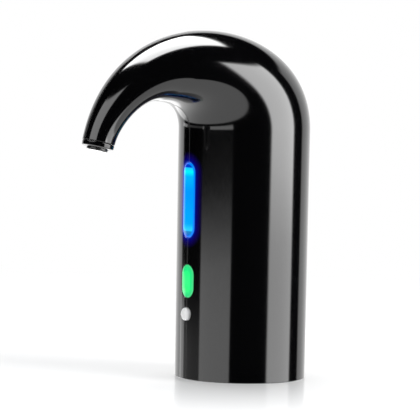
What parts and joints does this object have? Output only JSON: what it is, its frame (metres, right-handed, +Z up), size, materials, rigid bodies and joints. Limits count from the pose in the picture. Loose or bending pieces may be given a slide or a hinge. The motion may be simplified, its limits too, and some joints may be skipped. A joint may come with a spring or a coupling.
{
  "type": "electric wine aerator",
  "caption": "Free-standing hooked pouring head for a bottle, with a lit window, a lit pour button, a round power button, an air pump and a battery ring inside.",
  "frame": {"origin": "centre of the base, on the barrel's axis, in the plane it stands on", "axes": "+Z up along the barrel's axis, the spout points to -Y, +X is on the right when it is seen from the front"},
  "size_m": [0.061, 0.1169, 0.16],
  "materials": {
    "gloss_black": "mirror-gloss moulded black",
    "inner_black": "fine matte moulding",
    "dark_rubber": "matte",
    "silicone": "satin translucent silicone",
    "clear_hose": "smooth clear silicone hose",
    "steel": "bright turned",
    "spring_steel": "nickel plated strip",
    "blue_lens": "lit from behind, bright blue",
    "green_lens": "lit from behind, green",
    "white_cap": "smooth white moulding",
    "diffuser": "milky light guide",
    "board": "green coated board",
    "cell_jacket": "plain dark jacket",
    "copper": "wound copper",
    "red_lead": "smooth sleeve",
    "black_lead": "smooth sleeve"
  },
  "bodies": {
    "housing": {"right_shell": "gloss_black", "left_shell": "gloss_black", "nozzle_ring": "gloss_black", "nozzle_insert": "inner_black", "outlet_tip": "steel", "nozzle_seal": "dark_rubber", "light_window": "blue_lens", "light_guide": "diffuser", "main_board": "board", "pour_switch": "inner_black", "power_switch": "inner_black", "blue_light_1": "blue_lens", "blue_light_2": "blue_lens", "blue_light_3": "blue_lens", "green_light": "green_lens", "board_screw_1": "steel", "board_screw_2": "steel", "battery_carrier": "inner_black", "upper_lead_contact_right": "spring_steel", "upper_lead_contact_left": "spring_steel", "upper_bridge_contact_right": "spring_steel", "upper_bridge_contact_left": "spring_steel", "neck_grip": "silicone", "manifold": "inner_black", "spigot_seal": "dark_rubber", "wine_hose": "clear_hose", "aeration_hose": "clear_hose", "pump_air_hose": "clear_hose", "battery_lead_right": "red_lead", "battery_lead_left": "black_lead", "motor_lead_right": "red_lead", "motor_lead_left": "black_lead", "pump_cup": "dark_rubber", "pump_head": "inner_black", "valve_plate": "inner_black", "diaphragm": "dark_rubber", "pump_frame": "inner_black", "pump_screw_right": "steel", "pump_screw_left": "steel", "motor_can": "steel", "motor_end_cap": "inner_black", "shell_screw_right": "steel", "shell_screw_left": "steel", "battery_1": "cell_jacket", "battery_2": "cell_jacket", "battery_3": "cell_jacket", "battery_4": "cell_jacket", "battery_5": "cell_jacket", "battery_6": "cell_jacket"},
    "pour_button": {"pour_button": "green_lens"},
    "power_button": {"power_button": "white_cap"},
    "battery_cover": {"battery_cover": "inner_black", "lower_contact_right": "spring_steel", "lower_contact_left": "spring_steel", "lower_contact_rear": "spring_steel"},
    "stopper": {"stopper": "silicone"},
    "rotor": {"rotor": "copper"},
    "wobble_plate": {"wobble_plate": "white_cap"}
  },
  "joints": [
    {"name": "pour_button_press", "type": "slide", "parent": "housing", "child": "pour_button", "axis": [0, 1, 0], "range_m": [0, 0.0008], "stiffness_N_per_m": 1000, "springref_m": -0.0005},
    {"name": "power_button_press", "type": "slide", "parent": "housing", "child": "power_button", "axis": [0, 1, 0], "range_m": [0, 0.0008], "stiffness_N_per_m": 1000, "springref_m": -0.0005},
    {"name": "battery_cover_lift_off", "type": "slide", "parent": "housing", "child": "battery_cover", "axis": [0, 0, -1], "range_m": [0, 0.02]},
    {"name": "stopper_lift_off", "type": "slide", "parent": "housing", "child": "stopper", "axis": [0, 0, -1], "range_m": [0, 0.06]},
    {"name": "motor_spin", "type": "hinge", "parent": "housing", "child": "rotor", "pos_m": [0, 0.015, 0.0764], "axis": [0, 0, 1], "continuous": true},
    {"name": "wobble_plate_turn", "type": "hinge", "parent": "rotor", "child": "wobble_plate", "pos_m": [0, 0.015, 0.0747], "axis": [0.0436, 0, 0.999], "continuous": true}
  ],
  "couplings": [
    {"joint": "wobble_plate_turn", "follows": "motor_spin", "ratio": -1}
  ]
}
